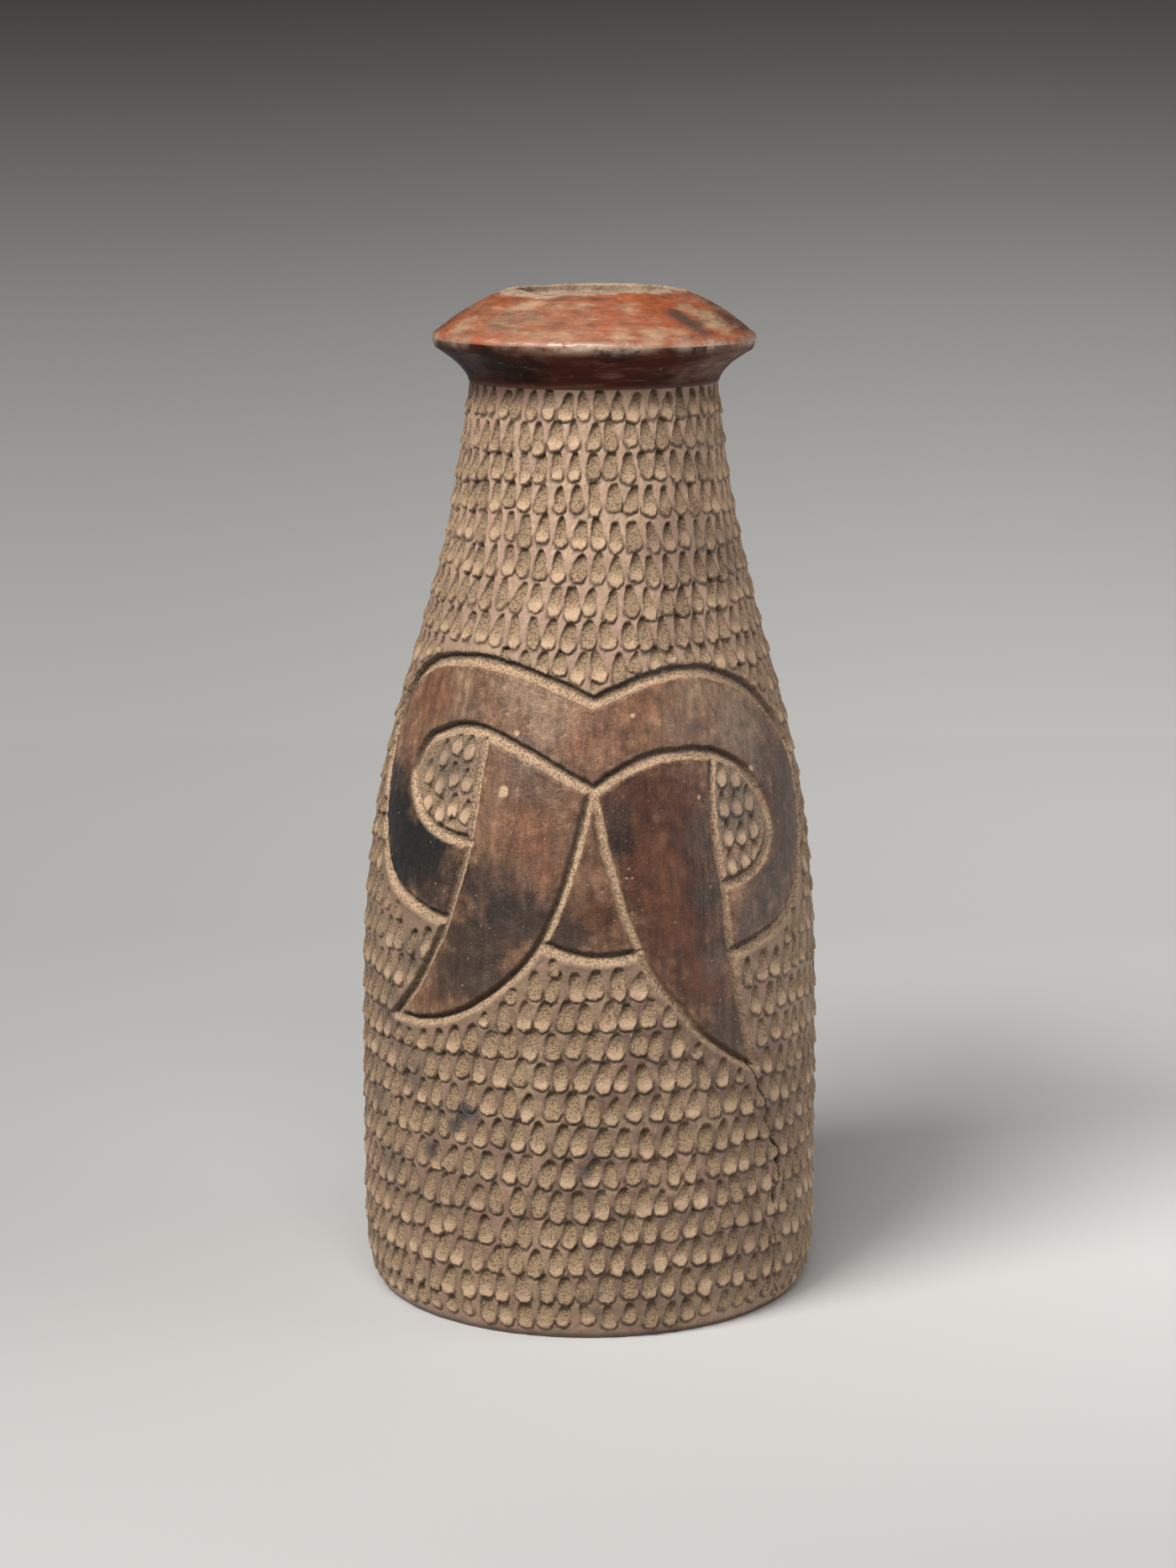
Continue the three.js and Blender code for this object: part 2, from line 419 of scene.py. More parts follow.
def press_gouges(layers):
    """Rows of gouges from the foot up to the neck seam, each row shifted half a step."""
    rng = np.random.default_rng(GOUGE_SEED)
    top = NECK_TOP - 0.47 * GOUGE_LENGTHS[-1]
    rows = int((top - LOWEST_GOUGE) / GOUGE_ROW_STEP) + 1
    turn = 0.0
    for row in reversed(range(rows)):
        height = top - row * GOUGE_ROW_STEP
        pitch = np.interp(height, GOUGE_LEVELS, GOUGE_PITCHES)
        count = int(round(2 * math.pi * float(body_radius(height)) / pitch))
        turn += (0.5 + rng.uniform(-ROW_STRAY, ROW_STRAY)) * 360.0 / count
        for number in range(count):
            step = number + rng.uniform(-SIDE_STRAY, SIDE_STRAY)
            angle = (turn + 360.0 * step / count) % 360.0 - 180.0
            wave = ROW_WAVE * math.sin(math.radians(angle * 2) + row * 0.7) * (row > 0)
            middle = height + rng.uniform(*HEIGHT_STRAY) + wave
            length = np.interp(height, GOUGE_LEVELS, GOUGE_LENGTHS) * rng.uniform(*LENGTH_STRAY)
            width = np.interp(height, GOUGE_LEVELS, GOUGE_WIDTHS) * rng.uniform(*WIDTH_STRAY)
            tilt = math.radians(rng.normal(*TILT_STRAY))
            shape = [rng.uniform(*limits) for limits in (TAPER_RANGE, BULB_RANGE, TORN_RANGE)]
            strength = rng.uniform(*STRENGTH_STRAY)
            for shift, share in SQUEEZES:
                centre, short = middle + shift, share * length
                if centre - 0.5 * short < LOWEST_GOUGE or not gouge_fits(angle, centre, short):
                    continue
                narrow = width * (0.5 + 0.5 * share)
                stamp_gouge(layers, angle, centre, short, narrow, tilt, shape, strength)
                break
    for angle, height in POCKET_GOUGES:
        tilt = math.radians(rng.normal(0, 6))
        length = POCKET_GOUGE_LENGTH * rng.uniform(0.9, 1.08)
        shape = rng.uniform(0.4, 0.6), 0.6, 0.2
        size = length, POCKET_GOUGE_WIDTH
        stamp_gouge(layers, angle, height, *size, tilt, shape, POCKET_GOUGE_STRENGTH)


POCKET_DEPTH = 0.45
relief = np.zeros((len(HEIGHTS), COLUMNS))
gouge = np.zeros_like(relief)
hollow = np.zeros_like(relief)
crease = np.zeros_like(relief)
press_gouges((relief, gouge, hollow, crease))
for values in (relief, gouge, hollow, crease):
    values *= ~band
pocket_floor = pockets * (1 - gouge)
relief -= POCKET_DEPTH * pockets
hollow = np.maximum(hollow, 0.9 * pocket_floor)

# Incised lines: a blunt stick drawn through damp clay, deepest along its upper left side
GROOVE_DEPTH = 2.1
GROOVE_EDGE = 0.28
GROOVE_RAGGEDNESS = 0.21
GROOVE_BERM = 0.22
BAND_ROUNDING = 0.35


def cut_grooves(layers):
    relief, gouge, hollow, crease = layers
    away_up, away_round = np.gradient(groove_distance)
    slope = np.hypot(away_up, away_round) + 1e-6
    upper_left = (0.93 * away_up - 0.37 * away_round) / slope
    distance = groove_distance + GROOVE_RAGGEDNESS * ragged
    groove = 1 - smooth_step(-GROOVE_EDGE, GROOVE_EDGE, distance)
    inward = np.clip(-distance / BLADE_HALF_WIDTH, 0, 1)
    lean = np.clip(upper_left, -1, 1) * (1 - inward)
    sunk = smooth_step(0, 0.5, inward + 0.5 * lean)
    bowl = GROOVE_DEPTH * (0.72 + 0.36 * lean) * (0.45 + 0.55 * sunk)
    bowl *= 0.62 + 0.38 * np.abs(away_up) / slope
    berm = GROOVE_BERM * hump(distance, 0.8, 0.5) * (0.8 + 0.6 * ragged)
    rounding = BAND_ROUNDING * np.exp(-np.clip(distance, 0, 9) / 1.1) * band
    relief[:] = relief * (1 - groove) - bowl * groove + berm * (1 - groove) - rounding
    gouge *= 1 - groove
    hollow *= 1 - groove
    # Painted shade: the upper left wall of each line is darkened where it lies in shadow
    dark_side = hump(distance, -0.7, 0.8 + 0.55 * upper_left) * smooth_step(0.15, 0.8, upper_left)
    crease[:] = np.maximum(crease * (1 - groove), dark_side)
    return groove


groove = cut_grooves((relief, gouge, hollow, crease))
smooth_band = band * (1 - groove)

# The open crack. No gouge's lip stands up beside it
CRACK_DEPTH = 1.0
CRACK_SIDES = 0.4
HIGHEST_BESIDE_CRACK = 0.35
crack = 1 - smooth_step(-0.2, 0.12, crack_distance + 0.25 * ragged)
beside_crack = crack_distance < CRACK_SIDES
relief = np.where(beside_crack, np.minimum(relief, HIGHEST_BESIDE_CRACK), relief)
relief -= CRACK_DEPTH * crack

# Chips in the smooth band, as (angle, height, radius)
CHIP_DEPTH = 0.3
CHIPS = [
    (-24.0, 160.2, 1.5), (-21.6, 176.6, 0.9), (12.0, 182.0, 0.7), (30.0, 158.0, 0.6),
    (50.5, 163.5, 0.8),
]
chip = np.zeros_like(relief)
for angle, height, radius in CHIPS:
    rows, columns, across, up = window(angle, height, 2.5 * radius)
    place = np.ix_(rows, columns)
    mark = 1 - smooth_step(0.75, 1.1, np.hypot(across, up) / radius + 0.35 * ragged[place])
    chip[place] = np.maximum(chip[place], mark)
relief -= CHIP_DEPTH * chip

# Grain: coarse where the clay is torn, finer on the ground, and none on the rubbed band
COARSE_GRAIN = 0.13
FINE_GRAIN = 0.10
SWELL = 0.25
grit = noise(BODY_PLACE, scale=1.25, octaves=2, seed=5)
swell = noise(BODY_PLACE, scale=34.0, octaves=3, seed=6)
coarse = np.clip(0.15 * gouge + 0.5 * hollow + 0.35 * groove + chip, 0, 1)
relief += COARSE_GRAIN * coarse * grit
relief += FINE_GRAIN * (1 - coarse) * grit * (1 - smooth_band)
relief += SWELL * swell

# The foot's edge is worn round
FOOT_WEAR = 0.25
FOOT_CHIPPING = 0.35
foot_edge = 1 - smooth_step(0.4, 3.2, BODY_PLACE[2])
foot_chips = noise(BODY_PLACE, scale=7.0, octaves=2, seed=8).clip(0, 1)
relief -= foot_edge * (FOOT_WEAR + FOOT_CHIPPING * foot_chips)

# The potter's eye, not a wheel, set the neck over the foot, so it stands a little to the right
LEAN = 1.3
LEAN_FROM = 90.0
LEAN_TO = 285.0


def ring_grid(radii, heights):
    """Points round the bottle, in metres, for a (rows, columns) grid of radii and heights."""
    radii, heights = np.broadcast_arrays(radii, heights)
    grid = np.empty((*radii.shape, 3))
    grid[..., 0] = np.sin(ANGLES) * radii + LEAN * smooth_step(LEAN_FROM, LEAN_TO, heights)
    grid[..., 1] = -np.cos(ANGLES) * radii
    grid[..., 2] = heights
    return grid * MM


def plain_rings(outline):
    """Unmarked rings, one for each (radius, height) point."""
    radii = np.repeat(np.array(outline, float)[:, :1], COLUMNS, 1)
    heights = np.repeat(np.array(outline, float)[:, 1:], COLUMNS, 1)
    return ring_grid(radii, heights)


def grid_normals(grid):
    """Normals of a whole displaced surface, so that shading runs on smoothly across the seams."""
    normal = np.cross(np.roll(grid, -1, 1) - np.roll(grid, 1, 1), np.gradient(grid, axis=0))
    return normal / np.linalg.norm(normal, axis=2, keepdims=True)


# Strips of the bake map: the outside takes four across, the rest shares one on top
STRIPS = 4
STRIPS_HEIGHT = 0.8
STRIP_MARGIN = 0.03
SIDE_MARGIN = 0.004
REST_LOW, REST_HIGH = 0.805, 0.995


def ring_uvs(count, rank, outside):
    """Corners on the bake map for the ring of faces with this rank out of count."""
    i = np.arange(COLUMNS)
    low, high = rank / count, (rank + 1) / count
    if outside:
        width = COLUMNS // STRIPS
        across = i % width
        strip = i // width
        base = (strip + STRIP_MARGIN) * STRIPS_HEIGHT / STRIPS
        room = (1 - 2 * STRIP_MARGIN) * STRIPS_HEIGHT / STRIPS
    else:
        width = COLUMNS
        across = i
        base = np.full(COLUMNS, REST_LOW)
        room = REST_HIGH - REST_LOW
    u0 = SIDE_MARGIN + (1 - 2 * SIDE_MARGIN) * across / width
    u1 = SIDE_MARGIN + (1 - 2 * SIDE_MARGIN) * (across + 1) / width
    v0 = base + room * low
    v1 = base + room * high
    return np.stack([u0, v0, u1, v0, u1, v1, u0, v1], 1).reshape(COLUMNS * 4, 2)


def new_mesh(name, vertices, quads, triangles):
    loops = np.concatenate([quads.ravel(), triangles.ravel()])
    quad_starts = np.arange(len(quads)) * 4
    triangle_starts = len(quads) * 4 + np.arange(len(triangles)) * 3
    starts = np.concatenate([quad_starts, triangle_starts])
    mesh = bpy.data.meshes.new(name)
    mesh.vertices.add(len(vertices))
    mesh.vertices.foreach_set("co", vertices.ravel())
    mesh.loops.add(len(loops))
    mesh.loops.foreach_set("vertex_index", loops)
    mesh.polygons.add(len(starts))
    mesh.polygons.foreach_set("loop_start", starts)
    mesh.update(calc_edges=True)
    return mesh


def pole_triangles(count):
    """Fans that close the first and the last of count rings on two poles numbered after them."""
    i = np.arange(COLUMNS)
    j = (i + 1) % COLUMNS
    end = (count - 1) * COLUMNS
    bottom = np.stack([j, i, np.full(COLUMNS, count * COLUMNS)], 1)
    top = np.stack([end + i, end + j, np.full(COLUMNS, count * COLUMNS + 1)], 1)
    return np.vstack([bottom, top])


def build_piece(name, outer, normals, layers, after, before=None, poles=()):
    """A closed mesh: the rows of a marked outer grid, then plain rings back to its first row.
    With two poles, plain rings come before it too, and both ends close to a point."""
    before = np.empty((0, COLUMNS, 3)) if before is None else before
    rings = np.concatenate([before, outer, after])
    count = len(rings)
    first, last = len(before), len(before) + len(outer) - 1
    vertices = np.vstack([rings.reshape(-1, 3), np.reshape(poles, (-1, 3))])
    i = np.arange(COLUMNS)
    j = (i + 1) % COLUMNS
    quads, uvs, flat = [], [], []
    gaps = count - 1 if poles else count
    rest = gaps - (last - first)
    rest_rank = 0
    for a in range(gaps):
        b = (a + 1) % count
        outside = first <= a < last
        low, high = a * COLUMNS, b * COLUMNS
        quads.append(np.stack([low + i, low + j, high + j, high + i], 1))
        if outside:
            uvs.append(ring_uvs(last - first, a - first, True))
        else:
            uvs.append(ring_uvs(rest, rest_rank, False))
            rest_rank += 1
        flat.append(np.full(COLUMNS, a == last or b == first))
    triangles = pole_triangles(count) if poles else np.empty((0, 3), int)
    mesh = new_mesh(name, vertices, np.vstack(quads), triangles)
    flat = np.concatenate(flat + [np.zeros(len(triangles), bool)])
    mesh.attributes.new("sharp_face", "BOOLEAN", "FACE").data.foreach_set("value", flat)
    pole_uvs = np.full((len(triangles) * 3, 2), REST_HIGH)
    layer = mesh.uv_layers.new(name="OFBake")
    layer.data.foreach_set("uv", np.vstack([*uvs, pole_uvs]).ravel())
    layers = dict(layers, inside=np.zeros(outer.shape[:2]))
    for attribute, values in layers.items():
        data = np.zeros(len(vertices))
        data[first * COLUMNS:(last + 1) * COLUMNS] = values.ravel()
        if attribute == "inside":
            data[(last + 1) * COLUMNS:] = 1.0
        mesh.attributes.new(attribute, "FLOAT", "POINT").data.foreach_set("value", data)
    mesh.validate()
    vertex_normals = np.zeros((len(vertices), 3))
    vertex_normals[first * COLUMNS:(last + 1) * COLUMNS] = normals.reshape(-1, 3)
    mesh.normals_split_custom_set_from_vertices(vertex_normals)
    piece = bpy.data.objects.new(name, mesh)
    bpy.context.scene.collection.objects.link(piece)
    return piece


def finish_piece(piece, node, material):
    piece.data.materials.append(material)
    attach(piece, "root")
    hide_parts(node)


# Materials
CLAY_SHINE = 0.39
DARK_SLIP_SHINE = 0.12
RED_SLIP_SHINE = 0.70


def new_material(name, shine=CLAY_SHINE):
    material = bpy.data.materials.new(name)
    material.use_nodes = True
    tree = material.node_tree
    shader = tree.nodes["Principled BSDF"]
    shader.inputs["Specular IOR Level"].default_value = shine
    return material, Graph(tree), shader


class Graph:
    """Short ways to add shader nodes."""

    def __init__(self, tree):
        self.tree = tree
        self.place = self.node("ShaderNodeTexCoord").outputs["Object"]
        # How spot() draws: stretch of its edge's noise, how far that strays, flatness of a spot
        self.brush = None
        self.raggedness = 1.8
        self.flatness = 1.0
        self.wobble = None
        self.flat_place = None

    def node(self, kind, **settings):
        made = self.tree.nodes.new(kind)
        for key, value in settings.items():
            setattr(made, key, value)
        return made

    def link(self, source, target):
        if isinstance(source, (int, float)):
            target.default_value = source
        elif isinstance(source, tuple):
            target.default_value = (*source, 1.0)
        else:
            self.tree.links.new(source, target)

    def attribute(self, name):
        return self.node("ShaderNodeAttribute", attribute_name=name).outputs["Fac"]

    def stretched(self, scale):
        made = self.node("ShaderNodeMapping")
        made.inputs["Scale"].default_value = scale
        self.link(self.place, made.inputs["Vector"])
        return made.outputs["Vector"]

    def noise(self, per_metre, detail=4.0, roughness=0.55, stretch=None):
        made = self.node("ShaderNodeTexNoise")
        self.link(self.stretched(stretch) if stretch else self.place, made.inputs["Vector"])
        made.inputs["Scale"].default_value = per_metre
        made.inputs["Detail"].default_value = detail
        made.inputs["Roughness"].default_value = roughness
        return made.outputs["Fac"]

    def span(self, value, low, high, to_low=0.0, to_high=1.0):
        made = self.node("ShaderNodeMapRange", interpolation_type="SMOOTHSTEP")
        self.link(value, made.inputs["Value"])
        limits = {"From Min": low, "From Max": high, "To Min": to_low, "To Max": to_high}
        for key, number in limits.items():
            made.inputs[key].default_value = number
        return made.outputs["Result"]

    def math(self, operation, first, second=0.0):
        made = self.node("ShaderNodeMath", operation=operation)
        self.link(first, made.inputs[0])
        self.link(second, made.inputs[1])
        return made.outputs[0]

    def times(self, *factors):
        total = factors[0]
        for factor in factors[1:]:
            total = self.math("MULTIPLY", total, factor)
        return total

    def mix(self, share, first, second, blend="MIX"):
        made = self.node("ShaderNodeMix", data_type="RGBA", blend_type=blend)
        self.link(share, made.inputs[0])
        self.link(first, made.inputs[6])
        self.link(second, made.inputs[7])
        return made.outputs[2]

    def scaled(self, colour, factor):
        made = self.node("ShaderNodeVectorMath", operation="SCALE")
        self.link(colour, made.inputs[0])
        self.link(factor, made.inputs["Scale"])
        return made.outputs["Vector"]

    def blend(self, share, first, second):
        made = self.node("ShaderNodeMix")
        self.link(share, made.inputs[0])
        self.link(first, made.inputs[2])
        self.link(second, made.inputs[3])
        return made.outputs[0]

    def part_of_place(self, axis):
        made = self.node("ShaderNodeSeparateXYZ")
        self.link(self.place, made.inputs[0])
        return made.outputs[axis]

    def sideways(self):
        return self.part_of_place(0)

    def height(self):
        return self.part_of_place(2)

    def bump(self, value, distance):
        made = self.node("ShaderNodeBump")
        self.link(value, made.inputs["Height"])
        made.inputs["Distance"].default_value = distance
        return made.outputs["Normal"]

    def spot(self, centre, radius):
        """1 inside a ragged ball round a point given in metres, falling to 0 past its radius."""
        if self.wobble is None:
            broad = self.math("SUBTRACT", self.noise(60.0, 3.0, 0.5), 0.5)
            fine = self.math("SUBTRACT", self.noise(230.0, 5.0, 0.7, self.brush), 0.5)
            self.wobble = self.times(self.math("ADD", broad, self.times(fine, 0.9)), self.raggedness)
            self.flat_place = self.stretched((1, 1, self.flatness))
        made = self.node("ShaderNodeVectorMath", operation="DISTANCE")
        self.link(self.flat_place, made.inputs[0])
        made.inputs[1].default_value = (centre[0], centre[1], centre[2] * self.flatness)
        far = self.math("ADD", made.outputs["Value"], self.times(self.wobble, radius))
        return self.span(far, radius * 0.3, radius * 1.5, 1.0, 0.0)

    def patches(self, colour, patches, colours):
        for kind, centre, radius, power in patches:
            colour = self.mix(self.times(self.spot(centre, radius), power), colour, colours[kind])
        return colour


def on_bottle(angle, height, radius=None):
    """A point of the outside in metres: on the body, or at a given radius on the collar."""
    reach = float(body_radius(height)) if radius is None else radius
    turn = math.radians(angle)
    lean = LEAN * float(smooth_step(LEAN_FROM, LEAN_TO, height))
    return ((reach * math.sin(turn) + lean) * MM, -reach * math.cos(turn) * MM, height * MM)


def on_body(patches):
    """Patches given as kind, angle, height, size, strength, with their places in metres."""
    placed = []
    for kind, angle, height, size, power in patches:
        placed.append((kind, on_bottle(angle, height), size * MM, power))
    return placed


# Colours of the bare clay, and of the shade painted on it
GROUND_NECK = (0.485, 0.321, 0.215)
GROUND_TAN = (0.322, 0.222, 0.133)
GROUND_BROWN = (0.205, 0.136, 0.088)
GROUND_ROSE = (0.36, 0.205, 0.155)
STAIN_PURPLE = (0.123, 0.068, 0.048)
PAINTED_COLLAR_SHADOW = (0.110, 0.060, 0.038)
SOOT = (0.050, 0.045, 0.048)
SAND = (0.473, 0.318, 0.191)
SAND_LIP = (0.596, 0.402, 0.256)
SAND_DEEP = (0.158, 0.102, 0.059)
PAINTED_SHADE_DARK = (0.064, 0.044, 0.032)

# Colours of the rubbed band
BAND_BROWN = (0.200, 0.103, 0.057)
BAND_UMBER = (0.129, 0.066, 0.037)
BAND_RUST = (0.053, 0.015, 0.006)
BAND_ORANGE = (0.170, 0.064, 0.029)
BAND_TAN = (0.286, 0.190, 0.114)
BAND_GREY = (0.149, 0.100, 0.072)
BAND_DARK = (0.046, 0.027, 0.018)
# Black of the fire clouds, also painted into the open crack as shade
FIRE_AND_CRACK_SHADE_BLACK = (0.009, 0.008, 0.007)
BAND_COLOURS = {
    "black": FIRE_AND_CRACK_SHADE_BLACK, "dark": BAND_DARK, "rust": BAND_RUST, "orange": BAND_ORANGE,
    "tan": BAND_TAN, "grey": BAND_GREY,
}

# What the fire and wear left on the band, but the tan patches at -11° and 48°, both at about 182 mm,
# are painted sheen
BAND_PATCHES = on_body([
    ("tan", -22, 189, 8, 0.5), ("tan", -44, 190, 5, 0.5), ("tan", -11, 182.5, 7, 0.45),
    ("grey", -42, 182, 6, 0.45), ("orange", -58, 183, 6, 0.4), ("orange", 1, 177, 8, 0.4),
    ("orange", 14, 184, 6, 0.5), ("orange", -50, 186, 5, 0.4), ("tan", 32, 187, 6.5, 0.65),
    ("grey", 26, 179, 7, 0.4), ("tan", 48, 182, 10, 0.55), ("grey", 52, 174, 10, 0.6),
    ("dark", 64, 160, 13, 0.65), ("dark", 62, 142, 13, 0.75), ("dark", 50, 127, 11, 0.75),
    ("dark", 41, 120, 6, 0.6), ("rust", 57, 152, 5, 0.5), ("grey", -18, 168, 6, 0.4),
    ("dark", -20, 166, 9, 0.22), ("orange", -15, 147, 9, 0.5), ("orange", -10, 136, 7, 0.4),
    ("dark", -24, 129, 12, 0.7), ("black", -20, 125, 9, 0.75), ("black", -30, 117, 10, 0.7),
    ("dark", -13, 123, 8, 0.7), ("dark", -26, 112, 10, 0.8), ("dark", -31.5, 135, 8, 0.65),
    ("dark", -32, 110, 13, 0.85), ("orange", -43, 98, 5, 0.4), ("tan", -26, 105, 3.5, 0.25),
    ("dark", -37, 103, 8, 0.4), ("dark", -27, 104, 8, 0.65), ("black", -65, 155, 8, 0.6),
    ("black", -62, 147, 14, 1), ("black", -53, 138, 14, 1), ("black", -58, 131, 10, 0.95),
    ("black", -45, 136, 13, 0.95), ("dark", -44, 127, 9, 0.7), ("rust", 12, 158, 14, 0.9),
    ("rust", 26, 158, 13, 0.85), ("rust", 19, 141, 16, 0.95), ("rust", 22, 122, 16, 0.95),
    ("rust", 31, 106, 13, 0.9), ("dark", 38, 92, 11, 0.8), ("orange", 12, 150, 4, 0.25),
    ("orange", 17, 143, 6, 0.3), ("orange", 21, 137, 5, 0.32), ("orange", 18, 128, 6, 0.27),
    ("orange", 23, 119, 5, 0.3), ("orange", 29, 107, 5, 0.2), ("black", 7.5, 147.5, 5, 0.6),
    ("dark", 6, 154, 4.5, 0.6), ("dark", 29.5, 147, 6, 0.7), ("dark", 33.5, 131, 6, 0.85),
    ("dark", 34.5, 114, 6, 0.75), ("grey", 32, 110, 5, 0.3), ("dark", -5.5, 119, 6.5, 0.95),
    ("rust", 2, 127, 6, 0.6),
])

# Soot and slip stains on the gouged ground
GROUND_COLOURS = {"soot": SOOT, "purple": STAIN_PURPLE}
GROUND_PATCHES = on_body([
    ("soot", -31.4, 66.5, 3.4, 0.9), ("soot", -35, 62, 2.6, 0.8), ("soot", -43, 53, 3.4, 0.8),
    ("soot", -1, 51.5, 2.6, 0.7), ("soot", 1, 55.5, 2, 0.6), ("soot", -50, 108, 7, 0.45),
    ("soot", -66, 62, 5, 0.45), ("soot", -57, 92, 8, 0.35), ("soot", -49, 76, 6, 0.35),
    ("soot", -61, 42, 7, 0.35), ("soot", -43, 165, 9, 0.5), ("soot", 43, 154, 9, 0.45),
    ("soot", 63, 222, 9, 0.4), ("purple", 47, 252, 12, 0.35), ("purple", 30, 206, 9, 0.35),
    ("purple", 38, 228, 14, 0.5), ("purple", 54, 60, 18, 0.2), ("purple", 44, 30, 12, 0.3),
    ("purple", -33, 38, 10, 0.25),
])
PURPLE_ZONE = on_bottle(14.0, 62.0)
PURPLE_REACH = 0.055


def ground_colour(g, up):
    """The flat clay between the gouges: paler at the neck, stained by slip low on the front."""
    ground = g.mix(g.span(g.noise(30.0, 5.0), 0.38, 0.62), GROUND_TAN, GROUND_BROWN)
    # Paler up the shoulder and neck: partly painted light, where they face up towards the lamps
    ground = g.mix(g.span(up, 0.150, 0.235, 0.0, 0.85), ground, GROUND_NECK)
    ground = g.mix(g.span(up, 0.004, 0.010, 0.45, 0.0), ground, GROUND_NECK)
    ground = g.mix(g.span(g.noise(70.0, 5.0, 0.65), 0.48, 0.64, 0.0, 0.65), ground, GROUND_ROSE)
    reach = g.math("ADD", g.times(g.spot(PURPLE_ZONE, PURPLE_REACH), 0.9), 0.06)
    ground = g.mix(g.times(g.span(g.noise(85.0, 6.0, 0.62), 0.40, 0.54), reach), ground, STAIN_PURPLE)
    fine = g.noise(650.0, 4.0, 0.65, (1, 1, 0.4))
    ground = g.mix(g.span(fine, 0.35, 0.65, 0.0, 0.45), ground, GROUND_BROWN)
    return g.mix(g.span(fine, 0.62, 0.72, 0.0, 0.5), ground, SAND_LIP)


def sand_colour(g, in_hollow, pits):
    """Clay torn open by the tool: sandy at the top of a gouge, pressed smooth at its lip."""
    # Darker up in the hollow than at the lip: torn sand, and partly painted shade of the hollow
    sand = g.mix(in_hollow, SAND_LIP, SAND)
    # Darker low on the body: partly painted shade
    sand = g.mix(g.span(g.height(), 0.09, 0.19, 0.2, 0.0), sand, GROUND_TAN)
    sand = g.mix(g.span(g.noise(45.0, 4.0), 0.45, 0.7, 0.0, 0.5), sand, GROUND_TAN)
    sand = g.mix(g.span(g.noise(420.0, 4.0, 0.65), 0.36, 0.66, 0.0, 0.35), sand, GROUND_TAN)
    # Painted shade in the pits of the torn clay
    return g.mix(pits, sand, SAND_DEEP)


def band_colour(g):
    """The rubbed band, stroked up and down, browned and blackened by the fire."""
    burnt = g.mix(g.span(g.noise(40.0, 6.0, 0.66, (1, 1, 0.7)), 0.36, 0.64), BAND_BROWN, BAND_UMBER)
    mottle = g.noise(240.0, 7.0, 0.74)
    cloudy = g.span(g.noise(19.0, 3.0), 0.40, 0.60, 0.25, 1.0)
    burnt = g.mix(g.times(g.span(mottle, 0.53, 0.66), cloudy, 0.5), burnt, BAND_TAN)
    burnt = g.patches(burnt, BAND_PATCHES, BAND_COLOURS)
    streaks = g.noise(420.0, 6.0, 0.68, (1, 1, 0.1))
    burnt = g.scaled(burnt, g.span(streaks, 0.34, 0.66, 0.72, 1.26))
    burnt = g.scaled(burnt, g.span(mottle, 0.34, 0.64, 0.68, 1.22))
    return g.mix(g.span(g.noise(620.0, 2.0), 0.70, 0.745, 0.0, 0.6), burnt, SAND)


def clay_material():
    material, g, shader = new_material("gouged_clay")
    in_gouge, in_hollow, in_painted_shade = map(g.attribute, ("gouge", "hollow", "crease"))
    in_groove, in_band, in_chip = map(g.attribute, ("groove", "band", "chip"))
    in_crack, inside = map(g.attribute, ("crack", "inside"))
    up = g.height()

    open_clay = g.math("MAXIMUM", in_gouge, g.math("MAXIMUM", in_groove, in_chip))
    loose = g.math("ADD", g.times(in_hollow, 0.6), g.math("ADD", g.times(in_groove, 0.45), 0.16))
    pits = g.times(g.span(g.noise(1600.0, 2.0, 0.55), 0.52, 0.66), loose)
    sand = sand_colour(g, in_hollow, pits)
    wall = g.mix(in_gouge, ground_colour(g, up), sand)
    # Painted shadow of the collar on the top of the neck, deeper on the left
    shade_strength = g.span(g.sideways(), -0.022, 0.002, 0.9, 0.5)
    wall = g.mix(g.times(g.span(up, 0.2635, 0.2712), shade_strength), wall, PAINTED_COLLAR_SHADOW)
    wall = g.patches(wall, GROUND_PATCHES, GROUND_COLOURS)
    wall = g.mix(g.span(g.noise(48.0, 5.0, 0.66), 0.63, 0.72, 0.0, 0.55), wall, SOOT)
    colour = g.mix(in_band, wall, band_colour(g))
    packed = g.times(in_groove, g.span(g.sideways(), 0.006, 0.030, 0.92, 0.7))
    colour = g.mix(g.math("MAXIMUM", packed, in_chip), colour, sand)
    # Painted shade in the gouges and along the lines
    colour = g.mix(g.times(in_painted_shade, 0.85), colour, PAINTED_SHADE_DARK)
    # Painted shade along the foot's lowest edge, which faces down
    colour = g.mix(g.span(up, 0.0006, 0.0024, 0.75, 0.0), colour, PAINTED_SHADE_DARK)
    # Painted shade: the open crack is painted black inside
    colour = g.mix(in_crack, colour, FIRE_AND_CRACK_SHADE_BLACK)
    colour = g.mix(inside, colour, GROUND_BROWN)
    g.link(colour, shader.inputs["Base Color"])

    ground_rough = g.span(g.noise(45.0), 0.35, 0.65, 0.42, 0.6)
    band_rough = g.span(g.noise(90.0, 5.0), 0.35, 0.65, 0.26, 0.42)
    torn = g.blend(in_hollow, 0.36, 0.95)
    rough = g.blend(open_clay, g.blend(in_band, ground_rough, band_rough), torn)
    g.link(rough, shader.inputs["Roughness"])
    gritty = g.math("ADD", g.times(open_clay, g.blend(in_hollow, 0.35, 1.0)), 0.18)
    sandy = g.times(g.noise(1400.0, 4.0, 0.65), gritty)
    sandy = g.math("SUBTRACT", sandy, g.times(pits, 0.5))
    lines = g.times(g.noise(800.0, 3.0, 0.5, (1, 1, 0.12)), g.blend(open_clay, 0.28, 0.0))
    lines = g.math("ADD", lines, g.times(g.noise(160.0, 3.0, 0.5), in_band, 0.5))
    g.link(g.bump(g.math("ADD", sandy, lines), 0.0012), shader.inputs["Normal"])
    return material


